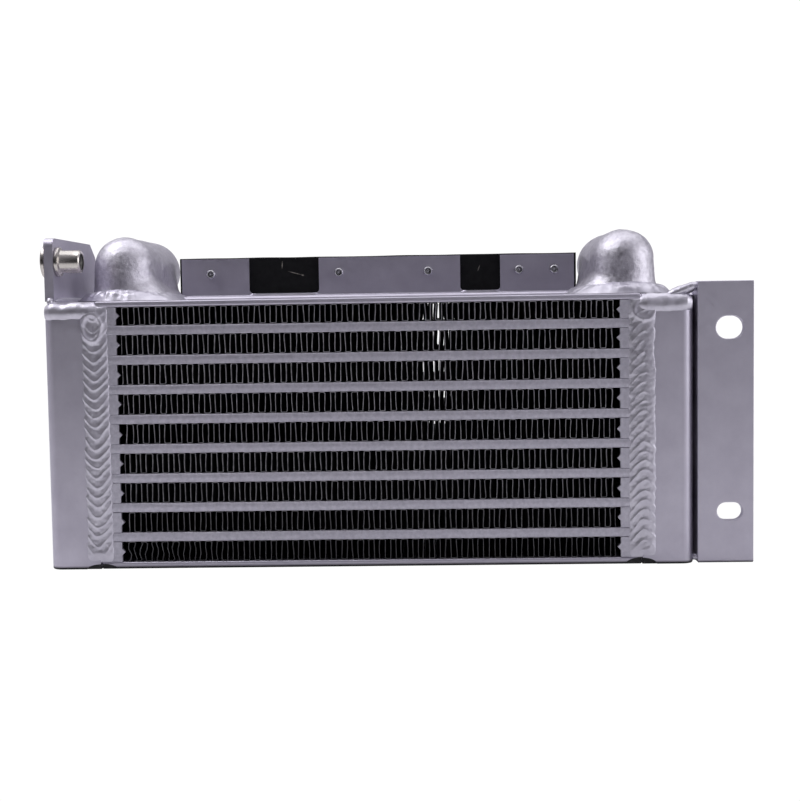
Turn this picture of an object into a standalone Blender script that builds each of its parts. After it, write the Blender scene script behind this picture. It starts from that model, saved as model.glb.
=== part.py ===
"""A bar-and-plate hydraulic oil cooler of brazed and welded aluminium.

Metres, +Z up, air flows along Y and oil along X. Every piece is placed from the middle of the core's
underside, and one empty shifts them all, so that the origin is under the middle of the whole cooler.
"""

import math

import bmesh
import bpy
from mathutils import Matrix, Vector

GAP = 0.0003  # clearance between pieces that touch

# Core: air rows and oil rows in turn, between two side plates
CORE_DEPTH = 0.096
CORE_HALF_WIDTH = 0.1295
AIR_ROWS = 9
AIR_HEIGHT = 0.0095
TOP_ROW_HEIGHT = 0.0085
OIL_BAR_HEIGHT = 0.0031
PARTING_SHEET = 0.0008
OIL_HEIGHT = OIL_BAR_HEIGHT + 2 * PARTING_SHEET
BOTTOM_PLATE = 0.0035
TOP_PLATE = 0.003
OIL_ROWS = AIR_ROWS - 1
CORE_TOP = BOTTOM_PLATE + OIL_ROWS * (AIR_HEIGHT + OIL_HEIGHT) + TOP_ROW_HEIGHT + TOP_PLATE
AIR_BAR_WIDTH = 0.009
AIR_BAR_NOSE = 0.0026
AIR_BAR_NOSE_BASE = 0.0038
OIL_BAR_WIDTH = 0.006
OIL_BAR_RECESS = 0.0003
FIN_HALF_WIDTH = 0.1175
FIN_FOLDS = 45
FIN_SHEET = 0.00025
TURBULATOR_FOLDS = 10
TURBULATOR_SHEET = 0.0003

# Tanks: channels closed at both ends, open to the core
TANK_INNER = CORE_HALF_WIDTH + GAP
TANK_OUTER = 0.1542
TANK_HALF_DEPTH = 0.049
TANK_TOP = 0.1285
TANK_WALL = 0.003
TANK_CORNER = 0.0055
BEAD_INNER = 0.1227
BEAD_OUTER = 0.1362
BEAD_PROUD = 0.0016
BEAD_LOW = 0.0035
BEAD_HIGH = 0.1245
CAP_BEAD_LOW = 0.1190
CAP_BEAD_PROUD = 0.0012
BEAD_EDGE = 0.15  # share of a bead's height that it already has at its edges

# Cast elbows: a domed riser on each tank, and a barrel to the rear with the threaded port
SEAT = CORE_TOP + GAP
ELBOW_X = 0.126
ELBOW_Y = 0.0
ELBOW_SHIFT = 0.0014
FLOOR_REACH = 0.08
FLOOR_DEPTH = 0.02
DOME_RADIUS = 0.0156
DOME_TOP = 0.1614
FLARE_TOP = 0.1429
FLARE_FRONT = 0.006
FLARE_INBOARD = 0.014
FLARE_OUTBOARD = 0.009
FOOT_EDGE = 0.0012
BARREL_RADIUS = 0.0163
BARREL_NOSE = 0.0080
BARREL_NOSE_RADIUS = 0.0110
SADDLE_HALF = 0.0158
SADDLE_REAR = 0.0460
BARREL_Z = 0.1445
BARREL_X = 0.1244
PORT_FACE_Y = 0.054
COLLAR_LENGTH = 0.014
COLLAR_STEP = 0.0005
PORT_BORE = 0.01205
PORT_DEPTH = 0.020
PORT_CHAMFER = 0.0015
OIL_WAY = 0.009
RISER_WAY = 0.006
RISER_WAY_LOW = Vector((0.1398, ELBOW_Y, 0.1235))
RISER_WAY_HIGH = Vector((0.1275, ELBOW_Y, 0.1460))

# Left bracket: an upright plate with a rivet nut
LEFT_PLATE_INNER = 0.1496
LEFT_PLATE_OUTER = 0.1540
LEFT_PLATE_TOP = 0.1592
LEFT_PLATE_FRONT = -0.0445
LEFT_PLATE_REAR = 0.0370
LEFT_PLATE_CHAMFER = 0.009
LEFT_PLATE_DROP = 0.0057
LEFT_PLATE_ROUND = 0.004
NUT_Y = -0.0375
NUT_Z = 0.1480
NUT_BORE = 0.0034
NUT_BODY = 0.0055
NUT_FLANGE = 0.0078
NUT_FLANGE_THICK = 0.0015
NUT_BULB = 0.00725
NUT_BULB_LENGTH = 0.0026
NUT_TAIL = 0.1376

# Right bracket: an angle with two slots, standing off the tank on its welds
RIGHT_LEG_INNER = 0.1557
RIGHT_THICK = 0.004
RIGHT_ROUND = 0.002
RIGHT_LEG_DEPTH = 0.045
RIGHT_EDGE = 0.1820
RIGHT_LOW = 0.0005
RIGHT_TOP = 0.1339
SLOT_X = 0.1708
SLOTS = (("lower", 0.0250, 0.0042, 0.0036), ("upper", 0.1120, 0.0054, 0.0022))  # height, radius, straight
SLANT_FRONT = 0.006
SLANT_REAR = 0.024
PAD_HEIGHT = 0.005

# Top bracket: a bent angle of sheet with two notches, a rubber strip riveted behind it
FLANGE_FRONT = 0.0360
FLANGE_THICK = 0.002
FLANGE_LEFT = -0.1029
FLANGE_RIGHT = 0.1064
FLANGE_TOP = 0.1508
FOOT_LENGTH = 0.018
NOTCHES = ((-0.0668, -0.0294), (0.0460, 0.0673))
NOTCH_LOW = 0.1322
NOTCH_ROUND = 0.002
RUBBER_THICK = 0.003
RUBBER_LOW = 0.1316
RUBBER_TOP = 0.1516
RUBBER_OVERHANG = 0.0013
RIVET_PLACES = (-0.0870, -0.0186, 0.0289, 0.0772, 0.0958)
RIVET_Z = 0.1427
RIVET_SHANK = 0.0016
RIVET_BULB = 0.0024
RIVET_BULB_LENGTH = 0.0028
RIVET_HEAD = 0.0033
RIVET_HEAD_LENGTH = 0.0010
RIVET_HOLLOW = 0.0011
SET_FACE = 0.8  # shares of a turned piece's radius where it narrows
NARROW = 0.85
DOMED = 0.7

ROUND_STEPS = 24
SMALL_STEPS = 12

FRONT_MOST = -(TANK_HALF_DEPTH + BEAD_PROUD)
LEFT_MOST = -(LEFT_PLATE_OUTER + GAP + NUT_FLANGE_THICK)
TO_ORIGIN = Vector((-(LEFT_MOST + RIGHT_EDGE) / 2, -(FRONT_MOST + PORT_FACE_Y) / 2, 0))

for old in list(bpy.data.objects):
    bpy.data.objects.remove(old)

parts = bpy.data.collections.new("hydraulic_oil_cooler")
cutters = bpy.data.collections.new("cutters")
for group in (parts, cutters):
    bpy.context.scene.collection.children.link(group)
frame = bpy.data.objects.new("cooler_frame", None)
frame.location = TO_ORIGIN
parts.objects.link(frame)
bpy.context.view_layer.update()


def material(name, colour, roughness, metallic):
    made = bpy.data.materials.new(name)
    made.use_nodes = True
    shader = made.node_tree.nodes["Principled BSDF"]
    shader.inputs["Base Color"].default_value = (*colour, 1)
    shader.inputs["Roughness"].default_value = roughness
    shader.inputs["Metallic"].default_value = metallic
    return made


SILVER = material("silver_paint", (0.50, 0.49, 0.53), 0.38, 0.85)
CAST = material("cast_silver", (0.52, 0.51, 0.54), 0.48, 0.80)
FIN = material("fin_sheet", (0.30, 0.30, 0.31), 0.45, 0.85)
BARE = material("bare_aluminium", (0.62, 0.62, 0.63), 0.35, 1.0)
STEEL = material("zinc_steel", (0.60, 0.58, 0.55), 0.30, 1.0)
RUBBER = material("black_rubber", (0.015, 0.015, 0.016), 0.65, 0.0)


# Shapes


def place(obj, finish, helper=False):
    """Puts an object in its collection, under the cooler's frame."""
    (cutters if helper else parts).objects.link(obj)
    obj.parent = frame
    obj.hide_render = helper
    obj.display_type = "WIRE" if helper else "TEXTURED"
    if finish:
        obj.data.materials.clear()
        obj.data.materials.append(finish)
    return obj


def box(name, low, high, finish=None, helper=False):
    """A block between two corners."""
    mesh = bpy.data.meshes.new(name)
    shape = bmesh.new()
    bmesh.ops.create_cube(shape, size=1)
    size = [b - a for a, b in zip(low, high)]
    middle = [(a + b) / 2 for a, b in zip(low, high)]
    bmesh.ops.scale(shape, vec=size, verts=shape.verts)
    shape.to_mesh(mesh)
    shape.free()
    obj = place(bpy.data.objects.new(name, mesh), finish, helper)
    obj.location = middle
    return obj


def rounded(corners, steps=4):
    """An outline from (u, v, radius) corners, each with an arc of its radius."""
    points = []
    for index, (u, v, radius) in enumerate(corners):
        corner = Vector((u, v))
        if not radius:
            points.append(corner)
            continue
        before = (Vector(corners[index - 1][:2]) - corner).normalized()
        after = (Vector(corners[(index + 1) % len(corners)][:2]) - corner).normalized()
        half = before.angle(after) / 2
        centre = corner + (before + after).normalized() * radius / math.sin(half)
        start = corner + before * radius / math.tan(half) - centre
        end = corner + after * radius / math.tan(half) - centre
        turn = start.angle_signed(end)
        for step in range(steps + 1):
            arc = start.copy()
            arc.rotate(Matrix.Rotation(-turn * step / steps, 2))
            points.append(centre + arc)
    return points


def circle(u, v, radius, steps):
    """A closed ring of points."""
    turns = [2 * math.pi * step / steps for step in range(steps)]
    return [(u + radius * math.cos(turn), v + radius * math.sin(turn)) for turn in turns]


def obround(u, v, radius, straight, steps=8):
    """A slot's outline: two half circles joined by straight sides along u."""
    points = []
    for side, first in ((1, -math.pi / 2), (-1, math.pi / 2)):
        for step in range(steps + 1):
            turn = first + math.pi * step / steps
            points.append((u + side * straight / 2 + radius * math.cos(turn), v + radius * math.sin(turn)))
    return points


TURNS = {"X": (math.pi / 2, 0, math.pi / 2), "Y": (math.pi / 2, 0, 0), "Z": (0, 0, 0)}


def plate(name, outlines, along, low, high, finish=None, helper=False):
    """A flat outline with holes, drawn out along one axis from low to high.

    The outline's (u, v) are (y, z) along X, (x, z) along Y and (x, y) along Z.
    """
    flat = bpy.data.curves.new(name + "_outline", "CURVE")
    flat.dimensions = "2D"
    flat.fill_mode = "BOTH"
    flat.extrude = (high - low) / 2
    for points in outlines:
        spline = flat.splines.new("POLY")
        spline.points.add(len(points) - 1)
        for point, (u, v) in zip(spline.points, points):
            point.co = (u, v, 0, 1)
        spline.use_cyclic_u = True
    guide = place(bpy.data.objects.new(name + "_outline", flat), None, helper=True)
    guide.rotation_euler = TURNS[along]
    guide.location["XYZ".index(along)] = (low + high) / 2
    return as_mesh(guide, name, finish, helper)


def as_mesh(guide, name, finish, helper=False):
    """The evaluated shape of a curve or a modified mesh, as a plain mesh in its place."""
    bpy.context.view_layer.update()
    graph = bpy.context.evaluated_depsgraph_get()
    mesh = bpy.data.meshes.new_from_object(guide.evaluated_get(graph))
    mesh.name = name
    shape = bmesh.new()
    shape.from_mesh(mesh)
    bmesh.ops.remove_doubles(shape, verts=shape.verts, dist=1e-6)
    bmesh.ops.recalc_face_normals(shape, faces=shape.faces)
    shape.to_mesh(mesh)
    shape.free()
    world = guide.matrix_world.copy()
    bpy.data.objects.remove(guide)
    obj = place(bpy.data.objects.new(name, mesh), finish, helper)
    obj.matrix_world = world
    return obj


def turned(name, profile, steps, finish=None, helper=False, closed=False):
    """A shape turned about Z from (radius, height) points that run down its outer side."""
    mesh = bpy.data.meshes.new(name + "_profile")
    count = len(profile)
    edges = [(i, (i + 1) % count) for i in range(count if closed else count - 1)]
    mesh.from_pydata([(radius, 0, height) for radius, height in profile], edges, [])
    guide = place(bpy.data.objects.new(name + "_profile", mesh), None, helper=True)
    screw = guide.modifiers.new("Turn", "SCREW")
    screw.steps = steps
    screw.render_steps = steps
    screw.use_merge_vertices = True
    screw.merge_threshold = 1e-5
    obj = as_mesh(guide, name, finish, helper)
    obj.data.shade_smooth()
    obj.data.set_sharp_from_angle(angle=math.radians(40))
    return obj


def rod(name, start, end, radius, steps):
    """A round cutter between two points."""
    mesh = bpy.data.meshes.new(name)
    shape = bmesh.new()
    length = (end - start).length
    bmesh.ops.create_cone(
        shape, cap_ends=True, segments=steps, radius1=radius, radius2=radius, depth=length
    )
    shape.to_mesh(mesh)
    shape.free()
    obj = place(bpy.data.objects.new(name, mesh), None, helper=True)
    obj.rotation_mode = "QUATERNION"
    obj.rotation_quaternion = (end - start).to_track_quat("Z", "Y")
    obj.location = (start + end) / 2
    return obj


def combine(obj, other, operation):
    """Adds an exact Boolean with another object."""
    modifier = obj.modifiers.new(other.name, "BOOLEAN")
    modifier.operation = operation
    modifier.solver = "EXACT"
    modifier.object = other


def corrugation(name, folds, half_width, height, length, sheet, finish):
    """A sheet folded into square waves across X, drawn out along Y, with its middle at the origin."""
    half_wave = half_width / folds
    rise = (height - sheet) / 2
    line = []
    for fold in range(folds):
        x = -half_width + 2 * half_wave * fold
        line += [(x, -rise), (x, rise), (x + half_wave, rise), (x + half_wave, -rise)]
    line += [(half_width, -rise), (half_width, rise)]
    shape = bmesh.new()
    knots = [shape.verts.new((x, -length / 2, z)) for x, z in line]
    folds_drawn = [shape.edges.new(pair) for pair in zip(knots, knots[1:])]
    drawn = bmesh.ops.extrude_edge_only(shape, edges=folds_drawn)["geom"]
    moved = [item for item in drawn if isinstance(item, bmesh.types.BMVert)]
    bmesh.ops.translate(shape, vec=(0, length, 0), verts=moved)
    mesh = bpy.data.meshes.new(name)
    shape.to_mesh(mesh)
    shape.free()
    obj = place(bpy.data.objects.new(name, mesh), finish)
    solid = obj.modifiers.new("Sheet", "SOLIDIFY")
    solid.thickness = sheet
    solid.offset = 0
    solid.use_even_offset = True
    return obj


# Core


def air_row(index):
    """The lowest and highest point of an air row, counted from the bottom."""
    low = BOTTOM_PLATE + index * (AIR_HEIGHT + OIL_HEIGHT)
    return low, low + (TOP_ROW_HEIGHT if index == AIR_ROWS - 1 else AIR_HEIGHT)


def make_side_plates():
    half = CORE_DEPTH / 2
    box(
        "side_plate_bottom",
        (-CORE_HALF_WIDTH, -half, 0),
        (CORE_HALF_WIDTH, half, BOTTOM_PLATE - GAP / 2),
        SILVER,
    )
    box(
        "side_plate_top",
        (-CORE_HALF_WIDTH, -half, CORE_TOP - TOP_PLATE + GAP / 2),
        (CORE_HALF_WIDTH, half, CORE_TOP),
        SILVER,
    )


def make_air_row(index):
    """One air row: the folded fin and the bar with a nose at each end."""
    low, high = air_row(index)
    low, high = low + GAP / 2, high - GAP / 2
    middle = (low + high) / 2
    name, depth = f"air_fin_{index + 1}", CORE_DEPTH - 2 * GAP
    fin = corrugation(name, FIN_FOLDS, FIN_HALF_WIDTH, high - low, depth, FIN_SHEET, FIN)
    fin.location.z = middle
    face = CORE_HALF_WIDTH - AIR_BAR_WIDTH
    for name, side in (("left", -1), ("right", 1)):
        outline = [
            (side * CORE_HALF_WIDTH, low),
            (side * CORE_HALF_WIDTH, high),
            (side * face, high),
            (side * face, middle + AIR_BAR_NOSE_BASE / 2),
            (side * (face - AIR_BAR_NOSE), middle),
            (side * face, middle - AIR_BAR_NOSE_BASE / 2),
            (side * face, low),
        ]
        bar = f"air_bar_{name}_{index + 1}"
        plate(bar, [outline], "Y", -CORE_DEPTH / 2, CORE_DEPTH / 2, SILVER)


def make_oil_row(index):
    """One oil row: two sheets and two long bars brazed into a flat tube, and the turbulator inside."""
    low = air_row(index)[1] + GAP / 2
    high = low + OIL_HEIGHT - GAP
    edge = CORE_DEPTH / 2
    face = edge - OIL_BAR_RECESS
    inner_low, inner_high = low + PARTING_SHEET, high - PARTING_SHEET
    front = [
        (-edge, high),
        (-edge, inner_high),
        (-face, inner_high),
        (-face, inner_low),
        (-edge, inner_low),
        (-edge, low),
    ]
    rear = [(-u, v) for u, v in reversed(front)]
    inner = edge - OIL_BAR_WIDTH
    way = [(-inner, inner_low), (inner, inner_low), (inner, inner_high), (-inner, inner_high)]
    outlines = [front + rear, way]
    plate(f"oil_passage_{index + 1}", outlines, "X", -CORE_HALF_WIDTH, CORE_HALF_WIDTH, SILVER)
    folded = corrugation(
        f"turbulator_{index + 1}",
        TURBULATOR_FOLDS,
        inner - 2 * GAP,
        inner_high - inner_low - 2 * GAP,
        2 * (CORE_HALF_WIDTH - GAP),
        TURBULATOR_SHEET,
        BARE,
    )
    folded.rotation_euler.z = math.pi / 2
    folded.location.z = (low + high) / 2


# Tanks


def bead_outline(low, high, back, crest, steps=6):
    """A weld bead's section: flat at the back, arched in front."""
    middle, half = (low + high) / 2, (high - low) / 2
    turns = [math.pi * step / steps for step in range(steps + 1)]
    arch = []
    for turn in turns:
        rise = BEAD_EDGE + (1 - BEAD_EDGE) * math.sin(turn)
        arch.append((middle - half * math.cos(turn), back + (crest - back) * rise))
    return [(low, back)] + arch + [(high, back)]


def riser_way(name, side):
    """The slanted way from the tank's end into the elbow."""
    ends = []
    for end in (RISER_WAY_LOW, RISER_WAY_HIGH):
        ends.append(Vector((side * end.x + ELBOW_SHIFT, end.y, end.z)))
    return rod(name, *ends, RISER_WAY, SMALL_STEPS)


def make_tank(name, side):
    """A channel with rounded outer corners and closed ends, open to the core, with its welds."""
    corners = [
        (side * TANK_INNER, -TANK_HALF_DEPTH, 0),
        (side * TANK_OUTER, -TANK_HALF_DEPTH, TANK_CORNER),
        (side * TANK_OUTER, TANK_HALF_DEPTH, TANK_CORNER),
        (side * TANK_INNER, TANK_HALF_DEPTH, 0),
    ]
    tank = plate(name, [rounded(corners)], "Z", 0, TANK_TOP, SILVER)
    reach = sorted((side * (TANK_INNER - TANK_WALL), side * (TANK_OUTER - TANK_WALL)))
    hollow = box(
        name + "_hollow",
        (reach[0], -TANK_HALF_DEPTH + TANK_WALL, TANK_WALL),
        (reach[1], TANK_HALF_DEPTH - TANK_WALL, TANK_TOP - TANK_WALL),
        helper=True,
    )
    back = CORE_DEPTH / 2 + GAP
    span = sorted((side * BEAD_INNER, side * BEAD_OUTER))
    cap_span = sorted((side * BEAD_INNER, side * (TANK_OUTER - TANK_CORNER)))
    for face, way in (("front", -1), ("rear", 1)):
        outline = bead_outline(*span, way * back, way * (TANK_HALF_DEPTH + BEAD_PROUD))
        bead = plate(f"{name}_bead_{face}", [outline], "Z", BEAD_LOW, BEAD_HIGH, helper=True)
        combine(tank, bead, "UNION")
        crest = way * (TANK_HALF_DEPTH + CAP_BEAD_PROUD)
        outline = [(y, z) for z, y in bead_outline(CAP_BEAD_LOW, TANK_TOP - GAP, way * back, crest)]
        bead = plate(f"{name}_cap_bead_{face}", [outline], "X", *cap_span, helper=True)
        combine(tank, bead, "UNION")
    combine(tank, hollow, "DIFFERENCE")
    combine(tank, riser_way(name + "_way", side), "DIFFERENCE")
    return tank


# Cast elbows


def dome_profile():
    """The riser's outline: a hemisphere, a short wall and a hollow flare down to its foot."""
    centre = DOME_TOP - DOME_RADIUS
    profile = []
    for step in range(7):
        turn = math.pi / 2 * step / 6
        profile.append((DOME_RADIUS * math.sin(turn), centre + DOME_RADIUS * math.cos(turn)))
    fall = FLARE_TOP - SEAT - FOOT_EDGE
    for step in range(6):
        turn = math.pi / 2 * step / 5
        profile.append((DOME_RADIUS + FLARE_FRONT * (1 - math.cos(turn)), FLARE_TOP - fall * math.sin(turn)))
    below = SEAT - FOOT_EDGE
    return profile + [(DOME_RADIUS + FLARE_FRONT, below), (0, below)]


def make_elbow(name, side):
    """A domed riser with a flared foot, a barrel to the rear, and the ways bored through them."""
    riser = turned(name, dome_profile(), ROUND_STEPS, CAST)
    riser.location = (side * ELBOW_X + ELBOW_SHIFT, ELBOW_Y, 0)
    for vertex in riser.data.vertices:
        reach = Vector(vertex.co.xy)
        flare = reach.length - DOME_RADIUS
        if vertex.co.z > FLARE_TOP or flare <= 0:
            continue
        cosine = reach.x * side / reach.length
        widest = FLARE_OUTBOARD if cosine > 0 else FLARE_INBOARD
        stretch = 1 + (widest / FLARE_FRONT - 1) * cosine * cosine
        reach = reach.normalized() * (DOME_RADIUS + flare * stretch)
        vertex.co.x, vertex.co.y = reach
    neck = BARREL_RADIUS - COLLAR_STEP
    length = PORT_FACE_Y - ELBOW_Y
    barrel = turned(
        name + "_barrel",
        [
            (0, length),
            (BARREL_RADIUS - COLLAR_STEP, length),
            (BARREL_RADIUS, length - COLLAR_STEP),
            (BARREL_RADIUS, length - COLLAR_LENGTH),
            (neck, length - COLLAR_LENGTH - COLLAR_STEP),
            (neck, 0),
            (BARREL_NOSE_RADIUS, -BARREL_NOSE * 0.8),
            (0, -BARREL_NOSE),
        ],
        ROUND_STEPS,
        helper=True,
    )
    bore = turned(
        name + "_bore",
        [
            (0, length + COLLAR_STEP),
            (PORT_BORE + PORT_CHAMFER + COLLAR_STEP, length + COLLAR_STEP),
            (PORT_BORE, length - PORT_CHAMFER),
            (PORT_BORE, length - PORT_DEPTH),
            (OIL_WAY, length - PORT_DEPTH - (PORT_BORE - OIL_WAY)),
            (OIL_WAY, 0),
            (0, -OIL_WAY / 2),
        ],
        ROUND_STEPS,
        helper=True,
    )
    for turned_piece in (barrel, bore):
        turned_piece.rotation_euler.x = -math.pi / 2
        turned_piece.location = (side * BARREL_X + ELBOW_SHIFT, ELBOW_Y, BARREL_Z)
    axis = side * BARREL_X + ELBOW_SHIFT
    saddle = box(
        name + "_saddle",
        (axis - SADDLE_HALF, ELBOW_Y, SEAT - GAP),
        (axis + SADDLE_HALF, SADDLE_REAR, BARREL_Z),
        helper=True,
    )
    below = box(
        name + "_floor",
        (axis - FLOOR_REACH, -FLOOR_REACH, SEAT - FLOOR_DEPTH),
        (axis + FLOOR_REACH, FLOOR_REACH, SEAT),
        helper=True,
    )
    combine(riser, barrel, "UNION")
    combine(riser, saddle, "UNION")
    combine(riser, below, "DIFFERENCE")
    combine(riser, bore, "DIFFERENCE")
    combine(riser, riser_way(name + "_way", side), "DIFFERENCE")


# Brackets


def make_left_bracket():
    """An upright plate on the left tank, and the rivet nut in it."""
    low = CORE_TOP + GAP
    corners = [
        (LEFT_PLATE_FRONT, low, 0),
        (LEFT_PLATE_REAR, low, 0),
        (LEFT_PLATE_REAR, LEFT_PLATE_TOP - LEFT_PLATE_DROP, LEFT_PLATE_ROUND / 2),
        (LEFT_PLATE_REAR - LEFT_PLATE_CHAMFER, LEFT_PLATE_TOP, LEFT_PLATE_ROUND / 2),
        (LEFT_PLATE_FRONT, LEFT_PLATE_TOP, LEFT_PLATE_ROUND),
    ]
    hole = circle(NUT_Y, NUT_Z, NUT_BODY + GAP, ROUND_STEPS)
    plate("left_bracket", [rounded(corners), hole], "X", -LEFT_PLATE_OUTER, -LEFT_PLATE_INNER, SILVER)
    bulb = LEFT_PLATE_OUTER - LEFT_PLATE_INNER + 2 * GAP + NUT_FLANGE_THICK
    tail = LEFT_PLATE_OUTER + GAP + NUT_FLANGE_THICK - NUT_TAIL
    nut = turned(
        "rivet_nut",
        [
            (NUT_BORE, tail),
            (NUT_BODY, tail),
            (NUT_BODY, bulb + NUT_BULB_LENGTH),
            (NUT_BULB, bulb + NUT_BULB_LENGTH * DOMED),
            (NUT_BULB, bulb),
            (NUT_BODY, bulb),
            (NUT_BODY, NUT_FLANGE_THICK),
            (NUT_FLANGE, NUT_FLANGE_THICK),
            (NUT_FLANGE, 0),
            (NUT_BORE, 0),
        ],
        ROUND_STEPS,
        STEEL,
        closed=True,
    )
    nut.rotation_euler.y = math.pi / 2
    nut.location = (LEFT_MOST, NUT_Y, NUT_Z)


def make_right_bracket():
    """An angle beside the right tank: a slotted flange in front, a leg along the tank, two welds."""
    front = -TANK_HALF_DEPTH
    back = front + RIGHT_THICK
    leg_face = RIGHT_LEG_INNER + RIGHT_THICK
    section = [
        (RIGHT_LEG_INNER, front, 0),
        (RIGHT_EDGE, front, 0),
        (RIGHT_EDGE, back, 0),
        (leg_face, back, RIGHT_ROUND),
        (leg_face, front + RIGHT_LEG_DEPTH, 0),
        (RIGHT_LEG_INNER, front + RIGHT_LEG_DEPTH, 0),
    ]
    angle = plate("right_bracket", [rounded(section)], "Z", RIGHT_LOW, RIGHT_TOP, SILVER)
    for name, height, radius, straight in SLOTS:
        outline = obround(SLOT_X, height, radius, straight)
        reach = (front - RIGHT_THICK, back + RIGHT_THICK)
        slot = plate(f"right_bracket_slot_{name}", [outline], "Y", *reach, helper=True)
        combine(angle, slot, "DIFFERENCE")
    above, behind = RIGHT_TOP + RIGHT_THICK, front + 2 * RIGHT_LEG_DEPTH
    slant = [
        (front + SLANT_FRONT, above),
        (front + SLANT_FRONT, RIGHT_TOP),
        (front + SLANT_REAR, TANK_TOP),
        (behind, TANK_TOP),
        (behind, above),
    ]
    reach = (RIGHT_LEG_INNER - RIGHT_ROUND, leg_face + RIGHT_ROUND)
    combine(angle, plate("right_bracket_slant", [slant], "X", *reach, helper=True), "DIFFERENCE")
    pad_rear = front + RIGHT_LEG_DEPTH - TANK_CORNER
    for name, low in (("upper", TANK_TOP - PAD_HEIGHT - GAP), ("lower", PAD_HEIGHT)):
        pad = box(
            f"right_bracket_weld_{name}",
            (TANK_OUTER + GAP, front + TANK_CORNER, low),
            (RIGHT_LEG_INNER + RIGHT_THICK / 2, pad_rear, low + PAD_HEIGHT),
            helper=True,
        )
        combine(angle, pad, "UNION")


def rivet_holes(name, front, rear):
    """Cutters for the five rivets through one sheet."""
    for index, x in enumerate(RIVET_PLACES):
        start, end = Vector((x, front, RIVET_Z)), Vector((x, rear, RIVET_Z))
        yield rod(f"{name}_hole_{index + 1}", start, end, RIVET_SHANK + GAP, SMALL_STEPS)


def make_top_bracket():
    """A bent angle on the top plate: a flange with two notches, and a foot that points forward."""
    low = CORE_TOP + GAP
    rear = FLANGE_FRONT + FLANGE_THICK
    corners = [(FLANGE_LEFT, low, 0), (FLANGE_RIGHT, low, 0), (FLANGE_RIGHT, FLANGE_TOP, 0)]
    for left, right in reversed(NOTCHES):
        corners += [
            (right, FLANGE_TOP, 0),
            (right, NOTCH_LOW, NOTCH_ROUND),
            (left, NOTCH_LOW, NOTCH_ROUND),
            (left, FLANGE_TOP, 0),
        ]
    corners.append((FLANGE_LEFT, FLANGE_TOP, 0))
    flange = plate("top_bracket", [rounded(corners)], "Y", FLANGE_FRONT, rear, SILVER)
    foot = box(
        "top_bracket_foot",
        (FLANGE_LEFT + GAP, FLANGE_FRONT - FOOT_LENGTH, low),
        (FLANGE_RIGHT - GAP, rear - FLANGE_THICK / 2, low + FLANGE_THICK),
        helper=True,
    )
    combine(flange, foot, "UNION")
    for hole in rivet_holes("top_bracket", FLANGE_FRONT - FLANGE_THICK, rear + FLANGE_THICK):
        combine(flange, hole, "DIFFERENCE")
    strip = box(
        "rubber_seal",
        (FLANGE_LEFT - RUBBER_OVERHANG, rear + GAP, RUBBER_LOW),
        (FLANGE_RIGHT + RUBBER_OVERHANG, rear + GAP + RUBBER_THICK, RUBBER_TOP),
        RUBBER,
    )
    for hole in rivet_holes("rubber_seal", rear - GAP, rear + 2 * RUBBER_THICK):
        combine(strip, hole, "DIFFERENCE")


def make_rivet(index, x):
    """A blind rivet: the set end in front of the flange, the domed head behind the rubber."""
    stack = FLANGE_THICK + RUBBER_THICK + 3 * GAP
    set_end = stack + RIVET_BULB_LENGTH
    rivet = turned(
        f"rivet_{index + 1}",
        [
            (0, set_end - RIVET_HOLLOW),
            (RIVET_HOLLOW, set_end - RIVET_HOLLOW / 2),
            (RIVET_HOLLOW, set_end),
            (RIVET_BULB * SET_FACE, set_end),
            (RIVET_BULB, stack + RIVET_BULB_LENGTH / 2),
            (RIVET_BULB * NARROW, stack),
            (RIVET_SHANK, stack),
            (RIVET_SHANK, 0),
            (RIVET_HEAD, 0),
            (RIVET_HEAD * DOMED, -RIVET_HEAD_LENGTH),
            (0, -RIVET_HEAD_LENGTH),
        ],
        SMALL_STEPS,
        BARE,
    )
    rivet.rotation_euler.x = math.pi / 2
    rivet.location = (x, FLANGE_FRONT - GAP + stack, RIVET_Z)


make_side_plates()
for row in range(AIR_ROWS):
    make_air_row(row)
for row in range(OIL_ROWS):
    make_oil_row(row)
for tank_side, sign in (("left", -1), ("right", 1)):
    make_tank(f"tank_{tank_side}", sign)
    make_elbow(f"port_elbow_{tank_side}", sign)
make_left_bracket()
make_right_bracket()
make_top_bracket()
for number, place_x in enumerate(RIVET_PLACES):
    make_rivet(number, place_x)
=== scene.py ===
"""The looks of a hydraulic oil cooler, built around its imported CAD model.

Metres, +Z up. Shapes are laid out from the middle of the core's underside, which is MID in the frame.
Every surface is sprayed silver except the rivets, the steel rivet nut and the black rubber strip.
"""

import math
import random

import bmesh
import bpy
import numpy as np
from mathutils import Matrix, Vector, noise


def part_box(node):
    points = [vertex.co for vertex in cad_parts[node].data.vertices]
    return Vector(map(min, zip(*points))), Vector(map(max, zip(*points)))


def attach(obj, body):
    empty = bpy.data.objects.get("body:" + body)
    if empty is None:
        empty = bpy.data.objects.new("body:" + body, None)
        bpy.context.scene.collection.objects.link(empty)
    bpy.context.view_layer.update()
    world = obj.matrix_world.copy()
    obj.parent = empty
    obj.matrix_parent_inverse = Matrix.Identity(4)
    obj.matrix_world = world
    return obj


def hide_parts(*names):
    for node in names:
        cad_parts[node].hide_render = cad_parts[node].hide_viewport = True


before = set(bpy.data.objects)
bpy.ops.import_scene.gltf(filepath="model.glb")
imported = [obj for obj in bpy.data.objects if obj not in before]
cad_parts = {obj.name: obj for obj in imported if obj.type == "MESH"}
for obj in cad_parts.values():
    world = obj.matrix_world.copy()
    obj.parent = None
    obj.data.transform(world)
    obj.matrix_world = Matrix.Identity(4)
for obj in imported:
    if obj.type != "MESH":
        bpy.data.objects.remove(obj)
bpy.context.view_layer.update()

SIDES = (("left", -1), ("right", 1))
FACES = (("front", -1), ("rear", 1))

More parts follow.
